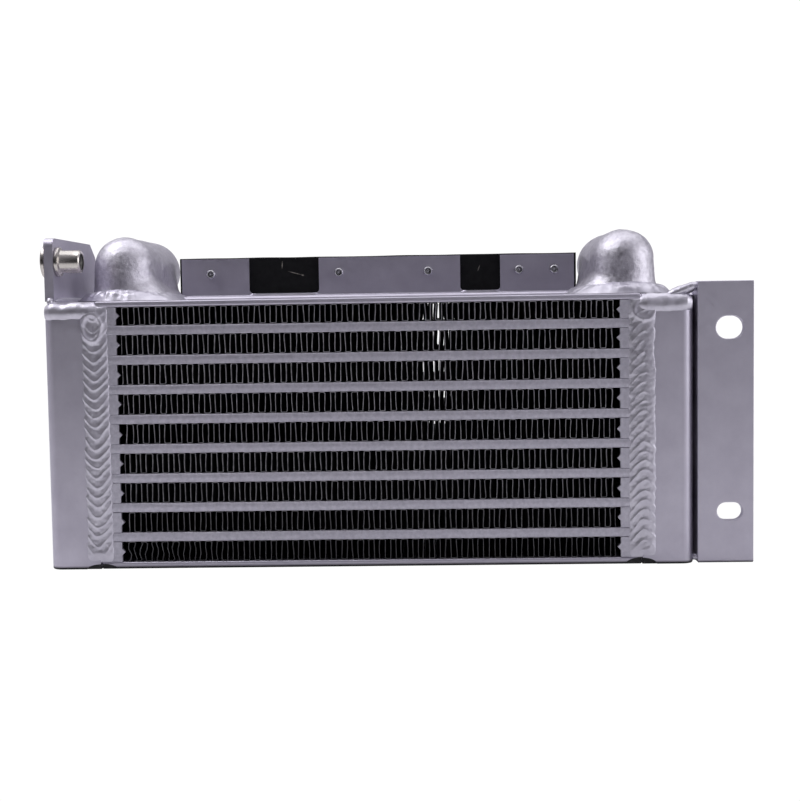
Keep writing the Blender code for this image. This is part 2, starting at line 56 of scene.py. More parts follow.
plate_low, plate_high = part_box("side_plate_top")
MID = Vector(((plate_low.x + plate_high.x) / 2, (plate_low.y + plate_high.y) / 2, 0))


def span(name):
    """A CAD node's lowest and highest corners, from the middle of the core's underside."""
    low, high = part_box(name)
    return low - MID, high - MID


CORE = span("side_plate_top")[1]  # half width, half depth and height of the core
TANK_LOW, TANK_HIGH = span("tank_right")
TANK_INNER = CORE.x + 0.0003
TANK_HALF_DEPTH = CORE.y + 0.001
TANK_CORNER = 0.0055
BEAD_INNER = TANK_LOW.x
BEAD_OUTER = 0.1362
BEAD_PROUD = -TANK_HALF_DEPTH - TANK_LOW.y


# Mesh tools


def grid_faces(rows, columns, wrap_rows=False, wrap_columns=False):
    """Quads between the points of a grid, row by row."""
    faces = []
    for row in range(rows if wrap_rows else rows - 1):
        for column in range(columns if wrap_columns else columns - 1):
            here, there = row * columns, (row + 1) % rows * columns
            beside = (column + 1) % columns
            faces.append((here + column, here + beside, there + beside, there + column))
    return faces


def raw_object(name, points, faces):
    """A mesh object with outward faces, in the frame's coordinates."""
    mesh = bpy.data.meshes.new(name)
    placed = np.asarray(points, float) + np.array(MID)
    mesh.from_pydata(placed.tolist(), [], faces)
    shape = bmesh.new()
    shape.from_mesh(mesh)
    bmesh.ops.remove_doubles(shape, verts=shape.verts, dist=1e-7)
    bmesh.ops.recalc_face_normals(shape, faces=shape.faces)
    shape.to_mesh(mesh)
    shape.free()
    obj = bpy.data.objects.new(name, mesh)
    bpy.context.scene.collection.objects.link(obj)
    return obj


def loft(name, sections, ring=False):
    """A solid through closed sections that have the same number of points."""
    sections = np.asarray(sections, float)
    count, size = sections.shape[:2]
    faces = grid_faces(count, size, wrap_rows=ring, wrap_columns=True)
    if not ring:
        faces.append(tuple(range(size)))
        faces.append(tuple((count - 1) * size + i for i in range(size)))
    return raw_object(name, sections.reshape(-1, 3), faces)


def outline_at(outline, axis, place):
    """A flat (u, v) outline set at one place along an axis: (y, z) on X, (x, z) on Y, (x, y) on Z."""
    index = "XYZ".index(axis)
    return [np.insert(np.asarray(point, float), index, place) for point in outline]


def prism(name, outline, axis, low, high, steps=1):
    """An outline drawn out along an axis."""
    places = np.linspace(low, high, steps + 1)
    return loft(name, [outline_at(outline, axis, place) for place in places])


AXIS = 0.0001  # a turned profile's radius at the axis, just over 0


def turned(name, profile, axis, centre, steps, ring=False):
    """A shape turned about an axis through a point; the profile holds (radius, place along the axis)."""
    index = "XYZ".index(axis)
    sections = []
    for radius, place in profile:
        section = []
        for step in range(steps):
            turn = 2 * math.pi * step / steps
            point = [radius * math.cos(turn), radius * math.sin(turn)]
            point.insert(index, place)
            section.append(np.array(point) + np.array(centre))
        sections.append(section)
    return loft(name, sections, ring)


def arc(u, v, radius, first, last, steps):
    """Points on an arc; the angles are in degrees."""
    turns = [math.radians(first + (last - first) * step / steps) for step in range(steps + 1)]
    return [(u + radius * math.cos(turn), v + radius * math.sin(turn)) for turn in turns]


def settle(obj):
    """Applies an object's modifiers."""
    bpy.context.view_layer.update()
    graph = bpy.context.evaluated_depsgraph_get()
    mesh = bpy.data.meshes.new_from_object(obj.evaluated_get(graph))
    obj.modifiers.clear()
    obj.data = mesh
    mesh.name = obj.name
    return obj


def cut(obj, cutter, operation="DIFFERENCE"):
    """Cuts one solid with another, or joins them, and removes the other."""
    change = obj.modifiers.new("Cut", "BOOLEAN")
    change.operation = operation
    change.solver = "EXACT"
    change.object = cutter
    settle(obj)
    bpy.data.objects.remove(cutter)
    return obj


def soften(obj, width, segments=2, angle=35):
    """Rounds the sharp edges and keeps the faces between them flat."""
    obj.data.shade_smooth()
    change = obj.modifiers.new("Edges", "BEVEL")
    change.width = width
    change.segments = segments
    change.limit_method = "ANGLE"
    change.angle_limit = math.radians(angle)
    level = obj.modifiers.new("Level", "WEIGHTED_NORMAL")
    level.weight = 100
    return settle(obj)


def shade(obj, angle=40):
    """Smooth shading up to an angle between faces."""
    obj.data.shade_smooth()
    obj.data.set_sharp_from_angle(angle=math.radians(angle))


def wobble(x, y, z, size, seed=0.0):
    """Smooth noise from -1 to 1, with features of one size."""
    return noise.noise(Vector((x / size + seed, y / size - seed, z / size + 2 * seed)))


def finished(obj, material, nodes=(), angle=40):
    """Makes an object a shown piece that stands for some CAD nodes."""
    if not obj.data.has_custom_normals:
        shade(obj, angle)
    obj.data.materials.clear()
    obj.data.materials.append(material)
    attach(obj, "root")
    if nodes:
        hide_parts(*nodes)
    return obj


# Materials


def node(material, kind, **values):
    """A new node with its inputs set by name."""
    made = material.node_tree.nodes.new(kind)
    for name, value in values.items():
        if hasattr(made, name):
            setattr(made, name, value)
        else:
            made.inputs[name.replace("_", " ")].default_value = value
    return made


def link(material, source, target):
    material.node_tree.links.new(source, target)


def place_of(material):
    """The shaded point in the frame's coordinates."""
    return node(material, "ShaderNodeTexCoord").outputs["Object"]


def along(material, axis):
    """The shaded point's place along X, Y or Z."""
    parts = node(material, "ShaderNodeSeparateXYZ")
    link(material, place_of(material), parts.inputs["Vector"])
    return parts.outputs[axis]


def noise_at(material, size, detail=4.0, stretch=(1, 1, 1)):
    """Noise with features of one size in metres."""
    scaled = node(material, "ShaderNodeMapping")
    scaled.inputs["Scale"].default_value = [1 / (size * s) for s in stretch]
    made = node(material, "ShaderNodeTexNoise", Scale=1.0, Detail=detail, Roughness=0.6)
    link(material, place_of(material), scaled.inputs["Vector"])
    link(material, scaled.outputs["Vector"], made.inputs["Vector"])
    return made.outputs["Fac"]


def remapped(material, value, before, after=(0.0, 1.0)):
    """A value mapped from one range to another and held at the ends."""
    made = node(material, "ShaderNodeMapRange")
    for name, limit in zip(("From Min", "From Max", "To Min", "To Max"), (*before, *after)):
        made.inputs[name].default_value = limit
    link(material, value, made.inputs["Value"])
    return made.outputs["Result"]


def reckoned(material, operation, *values):
    """Maths on values that are sockets or numbers."""
    made = node(material, "ShaderNodeMath", operation=operation)
    for target, value in zip(made.inputs, values):
        if isinstance(value, bpy.types.NodeSocket):
            link(material, value, target)
        else:
            target.default_value = value
    return made.outputs["Value"]


NOISE_RANGE = (0.3, 0.7)  # where most of the noise's values lie


def spread(material, source, low, high):
    """Noise mapped to a range of values."""
    return remapped(material, source, NOISE_RANGE, (low, high))


def toned(material, source, tones):
    """Noise turned into colours between two tones."""
    made = node(material, "ShaderNodeValToRGB")
    for element, position, tone in zip(made.color_ramp.elements, NOISE_RANGE, tones):
        element.position = position
        element.color = (*tone, 1)
    link(material, source, made.inputs["Fac"])
    return made.outputs["Color"]


def mixed(material, mask, at_zero, at_one):
    """One colour where the mask is 0, another where it is 1; each is a socket or a plain colour."""
    mix = node(material, "ShaderNodeMix", data_type="RGBA")
    link(material, mask, mix.inputs["Factor"])
    low, high = [socket for socket in mix.inputs if socket.type == "RGBA"]
    for target, value in ((low, at_zero), (high, at_one)):
        if isinstance(value, bpy.types.NodeSocket):
            link(material, value, target)
        else:
            target.default_value = (*value, 1)
    return next(socket for socket in mix.outputs if socket.type == "RGBA")


def bump(material, source, depth, before=None):
    """A bump of a real depth in metres, on top of another bump."""
    made = node(material, "ShaderNodeBump", Strength=1.0, Distance=depth)
    link(material, source, made.inputs["Height"])
    if before:
        link(material, before, made.inputs["Normal"])
    return made.outputs["Normal"]


def core_shade_mask(material, reach):
    """1 at the core's front and rear faces, 0 from a depth inside them, where painted shade takes over."""
    from_middle = reckoned(material, "SUBTRACT", along(material, "Y"), MID.y)
    depth = reckoned(material, "ABSOLUTE", from_middle)
    return remapped(material, depth, (CORE.y - reach, CORE.y - reach / 2))


def contact_shadow_mask(material):
    """0 at the underside and just above it, where a contact shadow is painted in, 1 higher up."""
    return remapped(material, along(material, "Z"), (0.0008, 0.0018))


def low_shaded(material, colour, height, share):
    """A colour darkened by painted shade to a share of itself at the underside, and unchanged above a
    height.
    """
    level = remapped(material, along(material, "Z"), (0.0, height), (share, 1.0))
    scaled = node(material, "ShaderNodeVectorMath", operation="SCALE")
    link(material, colour, scaled.inputs[0])
    link(material, level, scaled.inputs["Scale"])
    return scaled.outputs["Vector"]


# Painted shade, nearly black, deep inside the core's channels
CORE_PAINTED_SHADE = (0.006, 0.006, 0.008)
# Painted contact shadow along the underside
SOLE_PAINTED_SHADOW = (0.02, 0.02, 0.022)


def metal_finish(
    name, tones, rough, metallic, patch, grain, depth, stretch=(1, 1, 1), reach=None, contact_shadow=False, low_shade=None
):
    """A metal or metal paint: tones that drift in patches, and a fine grain in gloss and relief.

    It can carry painted shade beyond a reach from the core's faces, a painted contact shadow at its sole,
    or painted shade towards the underside that fades out at a height.
    """
    made = bpy.data.materials.new(name)
    made.use_nodes = True
    shader = made.node_tree.nodes["Principled BSDF"]
    shader.inputs["Metallic"].default_value = metallic
    colour = toned(made, noise_at(made, patch, 5.0, stretch), tones)
    # painted shade: darker towards the underside, up to a height
    if low_shade:
        colour = low_shaded(made, colour, *low_shade)
    # painted shade inside the core beyond a reach from its faces
    if reach:
        colour = mixed(made, core_shade_mask(made, reach), CORE_PAINTED_SHADE, colour)
    # painted contact shadow along the underside
    if contact_shadow:
        colour = mixed(made, contact_shadow_mask(made), SOLE_PAINTED_SHADOW, colour)
    link(made, colour, shader.inputs["Base Color"])
    link(made, spread(made, noise_at(made, grain * 4, 3.0), *rough), shader.inputs["Roughness"])
    fine = bump(made, noise_at(made, grain, 3.0, stretch), depth)
    link(made, bump(made, noise_at(made, grain * 5, 3.0, stretch), depth, fine), shader.inputs["Normal"])
    return made


# painted contact shadow along the underside
SILVER = metal_finish(
    "silver_paint", ((0.48, 0.455, 0.545), (0.54, 0.515, 0.605)),
    rough=(0.38, 0.48), metallic=0.80, patch=0.012, grain=0.0006, depth=0.000012, contact_shadow=True,
)
# painted shade beyond 3 mm inside the core
CORE_SILVER = metal_finish(
    "core_silver", ((0.42, 0.405, 0.48), (0.56, 0.54, 0.62)),
    rough=(0.42, 0.54), metallic=0.75, patch=0.002, grain=0.0006, depth=0.00003, reach=0.003,
)
CAST = metal_finish(
    "cast_silver", ((0.46, 0.44, 0.51), (0.66, 0.64, 0.71)),
    rough=(0.32, 0.48), metallic=0.88, patch=0.002, grain=0.0005, depth=0.00016,
)
# painted contact shadow along the underside
WELD = metal_finish(
    "weld_silver", ((0.50, 0.48, 0.56), (0.62, 0.60, 0.68)),
    rough=(0.34, 0.46), metallic=0.85, patch=0.005, grain=0.0007, depth=0.00003, contact_shadow=True,
)
# painted shade beyond 0.9 mm inside the core, and painted shade darkening the lowest rows
FIN = metal_finish(
    "fin_sheet", ((0.20, 0.195, 0.215), (0.50, 0.49, 0.53)), rough=(0.42, 0.58), metallic=0.70,
    patch=0.002, grain=0.0006, depth=0.00002, reach=0.0009, low_shade=(0.085, 0.25),
)
BARE = metal_finish(
    "bare_aluminium", ((0.60, 0.60, 0.62), (0.78, 0.78, 0.79)),
    rough=(0.22, 0.36), metallic=1.0, patch=0.003, grain=0.0004, depth=0.00001,
)
STEEL = metal_finish(
    "zinc_steel", ((0.48, 0.45, 0.425), (0.60, 0.57, 0.55)), rough=(0.22, 0.30), metallic=1.0,
    patch=0.004, grain=0.0012, depth=0.0000012, stretch=(4, 1, 1),
)
# Painted shade, nearly black, for the backs of the foot notches
NOTCH_SHADE = metal_finish(
    "notch_painted_shade", ((0.010, 0.010, 0.011), (0.03, 0.03, 0.032)),
    rough=(0.6, 0.8), metallic=0.2, patch=0.002, grain=0.0006, depth=0.00003,
)
# Painted shade, dark, for the inside of the rivet nut's bore
BORE_SHADE = metal_finish(
    "bore_painted_shade", ((0.05, 0.05, 0.05), (0.12, 0.115, 0.11)),
    rough=(0.35, 0.55), metallic=0.8, patch=0.002, grain=0.0004, depth=0.00001,
)

# Scuffs on the rubber strip: x, z, slant in degrees, length and width
RUBBER_SCUFFS = (
    (-0.0492, 0.1472, 86, 0.0050, 0.0007),
    (-0.0424, 0.1428, -15, 0.0085, 0.0006),
    (-0.0384, 0.1417, -20, 0.0022, 0.0010),
    (0.0560, 0.1440, 70, 0.0040, 0.0005),
)
SCUFF_GREY = (0.30, 0.28, 0.25)


def scuff(material, x, z, slant, length, width):
    """1 on a thin mark centred at (x, z), falling to 0 at its edges."""
    placed = node(material, "ShaderNodeVectorMath", operation="SUBTRACT")
    placed.inputs[1].default_value = (MID.x + x, 0, z)
    turned_back = node(material, "ShaderNodeVectorRotate", rotation_type="Y_AXIS")
    turned_back.inputs["Angle"].default_value = math.radians(slant)
    scaled = node(material, "ShaderNodeVectorMath", operation="MULTIPLY")
    scaled.inputs[1].default_value = (2 / length, 0, 2 / width)
    ball = node(material, "ShaderNodeTexGradient", gradient_type="SPHERICAL")
    link(material, place_of(material), placed.inputs[0])
    link(material, placed.outputs["Vector"], turned_back.inputs["Vector"])
    link(material, turned_back.outputs["Vector"], scaled.inputs[0])
    link(material, scaled.outputs["Vector"], ball.inputs["Vector"])
    return ball.outputs["Fac"]


def rubber_finish():
    """Matte black rubber with a few grey scuffs."""
    made = bpy.data.materials.new("black_rubber")
    made.use_nodes = True
    shader = made.node_tree.nodes["Principled BSDF"]
    shader.inputs["Specular IOR Level"].default_value = 0.15
    marks = 0.0
    for mark in RUBBER_SCUFFS:
        marks = reckoned(made, "MAXIMUM", marks, scuff(made, *mark))
    broken = reckoned(made, "MULTIPLY", marks, spread(made, noise_at(made, 0.0006), 0.2, 2.2))
    black = toned(made, noise_at(made, 0.004), ((0.005, 0.005, 0.006), (0.010, 0.010, 0.011)))
    link(made, mixed(made, broken, black, SCUFF_GREY), shader.inputs["Base Color"])
    link(made, spread(made, noise_at(made, 0.006), 0.62, 0.82), shader.inputs["Roughness"])
    link(made, bump(made, noise_at(made, 0.0015), 0.00004), shader.inputs["Normal"])
    return made


RUBBER = rubber_finish()


# Core


FIN_WALLS = 90
FIN_SHEET = 0.00026
FIN_BEND = 0.00034
FIN_WAVE = 0.00097
FIN_WAVELENGTH = 0.012
FIN_DEPTH_STEPS = 40
FIN_LEVELS = (0.08, 0.36, 0.64, 0.92)
BENT_WALLS = 24  # walls bent in handling, at the lowest row's left end


def wall_lean(row, wall, level, dice):
    """How far a fin wall strays sideways at one height: most at the lowest row's left end."""
    stray = 0.00016 * math.sin(2.3 * level + 1.7 * wall + row)
    stray += dice[0] * 0.00034 * (level - 0.5) + dice[1] * 0.00014 * math.sin(math.pi * level)
    if row == 1:
        bent = max(0.0, 1 - wall / BENT_WALLS)
        stray += bent * 0.0007 * math.sin(2 * math.pi * level + 0.9 * wall)
    return stray


def fin_line(row, low, high, half_width, draw):
    """The folded sheet's middle line in (x, z)."""
    pitch = 2 * half_width / FIN_WALLS
    line = []
    for wall in range(FIN_WALLS):
        place = -half_width + pitch * (wall + 0.5) + draw.uniform(-0.08, 0.08) * pitch
        dice = (draw.uniform(-1, 1), draw.uniform(-1, 1))
        points = []
        for level in FIN_LEVELS:
            points.append((place + wall_lean(row, wall, level, dice), low + (high - low) * level))
        bottom = [(place - FIN_BEND, low), (place - FIN_BEND * 0.2, low + FIN_BEND * 0.6)]
        top = [(place + FIN_BEND * 0.2, high - FIN_BEND * 0.6), (place + FIN_BEND, high)]
        if wall % 2:
            bottom = [(2 * place - x, z) for x, z in bottom]
            top = [(2 * place - x, z) for x, z in top]
            line += list(reversed(bottom + points + top))
        else:
            line += bottom + points + top
    return np.array(line)


def make_fin(row):
    """One row's fin: a folded sheet whose walls run in waves from the front to the rear."""
    name = f"air_fin_{row}"
    low, high = span(name)
    draw = random.Random(row)
    line = fin_line(row, low.z + FIN_SHEET * 0.3, high.z + FIN_SHEET * 0.3, high.x, draw)
    heading = np.gradient(line, axis=0)
    heading /= np.linalg.norm(heading, axis=1)[:, None]
    across = np.stack([-heading[:, 1], heading[:, 0]], axis=1) * FIN_SHEET / 2
    sides = np.concatenate([line + across, (line - across)[::-1]])
    freedom = np.clip((high.x - np.abs(sides[:, 0])) / 0.002, 0, 1)
    rows = []
    phase = draw.uniform(0, 2 * math.pi)
    for place in np.linspace(low.y, high.y, FIN_DEPTH_STEPS + 1):
        shift = FIN_WAVE * math.sin(2 * math.pi * place / FIN_WAVELENGTH + phase)
        across_core = sides[:, 0] + freedom * shift
        rows.append(np.stack([across_core, np.full(len(sides), place), sides[:, 1]], axis=1))
    size, count = len(sides), len(rows)
    faces = grid_faces(count, size, wrap_columns=True)
    for first in (0, (count - 1) * size):
        last = first + size - 1
        for index in range(len(line) - 1):
            faces.append((first + index, first + index + 1, last - index - 1, last - index))
    obj = raw_object(name + "_sheet", np.concatenate(rows), faces)
    finished(obj, FIN, [name], angle=50)


STRIP_STEPS = 64
SHEET_EDGE = 0.0008
BAR_BRAZE = 0.00025  # braze metal over and under an air bar


def along_core(name, outline, half_width, steps, seed, stray):
    """A (y, z) outline drawn out across the core, with a slight waviness."""
    sections = []
    for place in np.linspace(-half_width, half_width, steps + 1):
        section = np.array(outline_at(outline, "X", place))
        section[:, 1] += stray * wobble(place, 0, 0, 0.004, seed)
        section[:, 2] += stray * wobble(place, 1, 0, 0.006, seed)
        sections.append(section)
    return loft(name, sections)


def flat_outline(low, high, half_depth):
    """A parting sheet's section behind the front and rear bars."""
    return [(-half_depth, low), (half_depth, low), (half_depth, high), (-half_depth, high)]


def strip_outline(low, high, face, width, way):
    """A long bar's section with the two sheet edges brazed to it: a flat face with two faint seams."""
    edge, seam, seam_depth = 0.00050, 0.00015, 0.00004
    near = edge * 0.3
    outline = [(face - width, low), (face - edge, low), (face - near, low + near), (face, low + edge)]
    for middle in (low + SHEET_EDGE, high - SHEET_EDGE):
        outline += [(face, middle - seam), (face - seam_depth, middle), (face, middle + seam)]
    outline += [(face, high - edge), (face - near, high - near), (face - edge, high), (face - width, high)]
    return [(way * y, z) for y, z in outline]


def join(objects):
    """Several objects as one mesh object, named as the first."""
    first = objects[0]
    shape = bmesh.new()
    for obj in objects:
        shape.from_mesh(obj.data)
    shape.to_mesh(first.data)
    shape.free()
    for obj in objects[1:]:
        bpy.data.objects.remove(obj)
    return first


def make_oil_passage(row):
    """Two parting sheets and two long bars, brazed flush."""
    name = f"oil_passage_{row}"
    low, high = span(name)
    bar_width = 0.006
    shapes = []
    for face_name, way in FACES:
        outline = strip_outline(low.z, high.z, high.y, bar_width, way)
        seed = row + 10 * way
        shapes.append(along_core(f"{name}_{face_name}", outline, high.x, STRIP_STEPS, seed, 0.00008))
    for part, bottom in (("upper", high.z - SHEET_EDGE), ("lower", low.z)):
        outline = flat_outline(bottom, bottom + SHEET_EDGE, high.y - bar_width / 2)
        shapes.append(prism(f"{name}_{part}", outline, "X", -high.x, high.x))
    obj = join(shapes)
    obj.name = f"{name}_brazed"
    finished(obj, CORE_SILVER, [name], angle=50)


def make_air_bar(row, side_name, side):
    """The bar that closes an air row's end, with a softened nose."""
    name = f"air_bar_{side_name}_{row}"
    low, high = span(name)
    middle = (low.z + high.z) / 2
    nose = low.x if side > 0 else high.x
    outer = high.x if side > 0 else low.x
    depth, base, blunt = 0.0016, 0.0016, 0.0003
    draw = random.Random(f"{side_name}{row}")
    lift = draw.uniform(-0.0004, 0.0004)
    face = nose + side * depth
    bottom, top = low.z - BAR_BRAZE, high.z + BAR_BRAZE
    outline = [
        (outer, bottom),
        (outer, top),
        (face, top),
        (face, middle + base + lift),
        (nose + side * blunt, middle + blunt + lift),
        (nose, middle + lift),
        (nose + side * blunt, middle - blunt + lift),
        (face, middle - base + lift),
        (face, bottom),
    ]
    obj = prism(name + "_nosed", outline, "Y", low.y, high.y)
    soften(obj, 0.0002)
    finished(obj, CORE_SILVER, [name])


def make_side_plate(name):
    """A flat plate with slightly rounded edges."""
    low, high = span(name)
    outline = [(low.y, low.z), (high.y, low.z), (high.y, high.z), (low.y, high.z)]
    obj = prism(name + "_sheet", outline, "X", low.x, high.x)
    soften(obj, 0.0009, 4)
    if low.z < 0.001:
        for _, side in SIDES:
            cut_foot_notches(obj, side)
    finished(obj, SILVER, [name])
    shade_foot_notches(obj)


# Tanks and welds


NOTCH_PLACE = 0.1292
NOTCH_HALF = 0.0074
NOTCH_BACK = 0.0476
NOTCH_HEIGHTS = {-1: 0.0026, 1: 0.0032}  # left and right
NOTCH_SHADE_TOP = 0.003


def cut_foot_notches(obj, side):
    """Shallow arches under the ends of the upright welds, at the front and the rear."""
    middle = side * NOTCH_PLACE
    height = NOTCH_HEIGHTS[side]
    outline = [(middle + NOTCH_HALF * u, height * v) for u, v in arc(0, 0, 1, 0, 180, 16)]
    outline += [(middle - NOTCH_HALF, -0.002), (middle + NOTCH_HALF, -0.002)]
    for _, way in FACES:
        near, far = sorted((way * NOTCH_BACK, way * (TANK_HALF_DEPTH + 0.01)))
        cut(obj, prism("notch", outline, "Y", near, far))


def shade_foot_notches(obj):
    """Painted shade on the backs of the arches."""
    obj.data.materials.append(NOTCH_SHADE)
    for face in obj.data.polygons:
        place = face.center - MID
        at_back = abs(abs(place.y) - NOTCH_BACK) < 1e-5 and abs(face.normal.y) > 0.9
        if at_back and abs(abs(place.x) - NOTCH_PLACE) < NOTCH_HALF and place.z < NOTCH_SHADE_TOP:
            face.material_index = 1


def rounded_channel(side, inset):
    """A tank's outline in (x, y), rounded at its two outer corners."""
    radius = max(TANK_CORNER - inset, 0.0008)
    outer = TANK_HIGH.x - inset
    deep = TANK_HALF_DEPTH - inset
    points = [(TANK_INNER, -deep)]
    points += arc(outer - radius, -deep + radius, radius, -90, 0, 8)
    points += arc(outer - radius, deep - radius, radius, 0, 90, 8)
    points.append((TANK_INNER, deep))
    return [(side * x, y) for x, y in points]


def make_tank(side_name, side):
    """A tank's body: rounded top edges, a slightly rounded foot."""
    name = f"tank_{side_name}"
    top_round, foot_round = 0.0042, 0.0008
    rows = []
    for angle in (0, 30, 60):
        turn = math.radians(angle)
        rows.append((foot_round * (1 - math.sin(turn)), foot_round * (1 - math.cos(turn))))
    rows += [(0, height) for height in np.linspace(foot_round, TANK_HIGH.z - top_round, 12)]
    for angle in (18, 36, 54, 72, 90):
        turn = math.radians(angle)
        rows.append((top_round * (1 - math.cos(turn)), TANK_HIGH.z - top_round * (1 - math.sin(turn))))
    sections = [outline_at(rounded_channel(side, inset), "Z", height) for inset, height in rows]
    obj = loft(name + "_body", sections)
    cut_foot_notches(obj, side)
    finished(obj, SILVER, [name], angle=30)
    shade_foot_notches(obj)


RIPPLE = 0.0047
RIPPLE_DEPTH = 0.00040


def ripple(phase):
    """A weld ripple's height from 0 to 1: a narrow crescent at the end of a slow rise."""
    part = phase % 1
    crescent = math.exp(-(((part - 0.62) / 0.12) ** 2))
    return 0.65 * crescent + 0.35 * math.sin(math.pi * part) ** 2


def loop(across, height, middle, radii, rim):
    """A raised oval rim round a dish, where a weld was started."""
    distance = math.hypot((across - middle[0]) / radii[0], (height - middle[1]) / radii[1])
    return rim * (math.exp(-(((distance - 1) / 0.22) ** 2)) - 0.5 * math.exp(-((distance / 0.75) ** 2)))


def bead_relief(across, height, side, low, high):
    """Extra height on an upright bead: rounded chevrons, a start loop above and a crater below.

    Across runs from 0 at the tank to 1 at the core.
    """
    apex = 0.46 if side < 0 else 0.42
    reach, roundness = 0.0135, 0.22
    arm = math.hypot(across - apex, roundness) - roundness
    chevron = arm * reach * 1.35
    stray = 0.0016 * wobble(height, side, 0, 0.013, 3.1)
    stray += 0.0005 * wobble(height, across * reach, 0, 0.004, 5.2)
    drift = height + stray - chevron if side < 0 else -(height + stray) - chevron
    phase = -drift / RIPPLE
    share = (height - low) / (high - low)
    weight = 1.15 - 0.55 * share if side < 0 else 0.85 - 0.35 * share
    if side > 0 and share > 0.45 and across < apex:
        weight *= 0.3
    weight *= 0.8 + 0.5 * wobble(height, across * reach, side, 0.006, 1.7)
    relief = RIPPLE_DEPTH * weight * (ripple(phase) - 0.3)
    relief *= max(min(1, (height - low) / 0.008, (high - height) / 0.006), 0)
    if side < 0:
        relief += loop(across, height, (0.40, high - 0.0100), (0.34, 0.0064), 0.0007)
    else:
        relief += loop(across, height, (0.40, high - 0.0046), (0.42, 0.0050), 0.00045)
        pit = math.exp(-(((across - apex) / 0.07) ** 2) - (((phase % 1) - 0.3) / 0.2) ** 2)
        relief -= 0.00013 * pit * (share > 0.4)
    relief += 0.00012 * wobble(height, across * reach, side, 0.0018, 6.6)
    relief += 0.00030 * wobble(height, across * reach, side, 0.0050, 2.2) * max(0, share - 0.75) * 4
    crater = math.hypot((across - 0.5) / 0.42, (height - low - 0.0045) / 0.0040)
    return relief + 0.0005 * math.exp(-(crater**2))


def make_upright_bead(side_name, side, face_name, way):
    """The ripple weld where a tank meets the core."""
    low, high = 0.0032, 0.1262
    across_steps, up_steps = 34, 460
    root = way * (CORE.y - 0.003)
    sections = []
    for height in np.linspace(low, high, up_steps + 1):
        inner = BEAD_INNER + 0.0007 * wobble(height, side, way, 0.005) + 0.0006
        outer = BEAD_OUTER + 0.0006 * wobble(height, -side, way, 0.006)
        near_end = min((height - low) / 0.004, (high - height) / 0.003)
        taper = min(1.0, math.sqrt(max(near_end, 0)) + 0.02)
        section = []
        for across in np.linspace(0, 1, across_steps + 1):
            crown = (1 - abs(2 * across - 1) ** 2.6) ** 0.62
            base = CORE.y + (TANK_HALF_DEPTH - CORE.y) * across - 0.0004
            relief = bead_relief(1 - across, height, side, low, high) * min(1, 4 * crown)
            depth = base + (BEAD_PROUD - 0.0004) * crown * taper + relief * taper
            x = inner + (outer - inner) * across
            section.append((side * x, way * min(depth, TANK_HALF_DEPTH + BEAD_PROUD), height))
        section += [(side * outer, root, height), (side * inner, root, height)]
        sections.append(section)
    obj = loft(f"weld_bead_{side_name}_{face_name}", sections)
    finished(obj, WELD, angle=60)


def make_cap_bead(side_name, side, face_name, way):
    """The swollen weld roll along a tank's upper edge."""
    centre_y, centre_z = TANK_HALF_DEPTH - 0.0036, TANK_HIGH.z - 0.0050
    inner, outer = BEAD_INNER + 0.0045, TANK_HIGH.x - 0.0007
    steps, turns = 89, 24
    sections = []
    for x in np.linspace(inner, outer, steps + 1):
        end = min(1, (outer + 0.0002 - x) / 0.003, (x + 0.0002 - inner) / 0.005)
        swell = (0.55 + 0.45 * math.sqrt(end)) * (1 + 0.07 * wobble(x, side, way, 0.0045))
        section = []
        for step in range(turns):
            turn = 2 * math.pi * step / turns
            y = centre_y + 0.0047 * swell * math.cos(turn)
            z = centre_z + 0.0050 * swell * math.sin(turn)
            rough = 0.00030 * wobble(x, y, z, 0.0026) + 0.00060 * wobble(x, y, side, 0.006, 4.4)
            section.append((side * x, way * (y + 0.4 * rough), min(z + rough, TANK_HIGH.z + 0.0004)))
        sections.append(section)
    obj = loft(f"weld_roll_{side_name}_{face_name}", sections)
    finished(obj, WELD, angle=70)


# Port castings


CAST_TURNS = 72
CAST_SHIFT = 0.0014  # both castings sit this much off the mirrored places, to the right
RISER_X = 0.126
BARREL_X = 0.1244
BARREL_Z = 0.1445
PORT_RADIUS = 0.0128


def hull(name, points):
    """The convex solid round some points."""
    obj = raw_object(name, points, [])
    shape = bmesh.new()
    shape.from_mesh(obj.data)
    made = bmesh.ops.convex_hull(shape, input=shape.verts)
    inside = made["geom_interior"] + made["geom_unused"]
    spare = {part for part in inside if isinstance(part, bmesh.types.BMVert)}
    bmesh.ops.delete(shape, geom=list(spare), context="VERTS")
    bmesh.ops.recalc_face_normals(shape, faces=shape.faces)
    shape.to_mesh(obj.data)
    shape.free()
    return obj


def hood_points(centre_x, axis, top, seat, rear):
    """Points round a casting's body: a domed riser in front, an arch with spread sides behind it."""
    radius, waist, squat, arch, splay = 0.0154, 0.0160, 0.94, 0.0158, 0.0028
    points = []
    for angle in range(0, 91, 6):
        turn = math.radians(angle)
        across, height = radius * math.sin(turn), top - squat * radius * (1 - math.cos(turn))
        points += [(centre_x + x, y, height) for x, y in arc(0, 0, across, 0, 360, 48)]
    points += [(centre_x + x, y, seat) for x, y in arc(0, 0, waist, 0, 360, 48)]
    points += [(axis[0] + x, rear, axis[2] + z) for x, z in arc(0, 0, arch, 0, 180, 40)]
    return points + [(axis[0] - arch - splay, rear, seat), (axis[0] + arch + splay, rear, seat)]


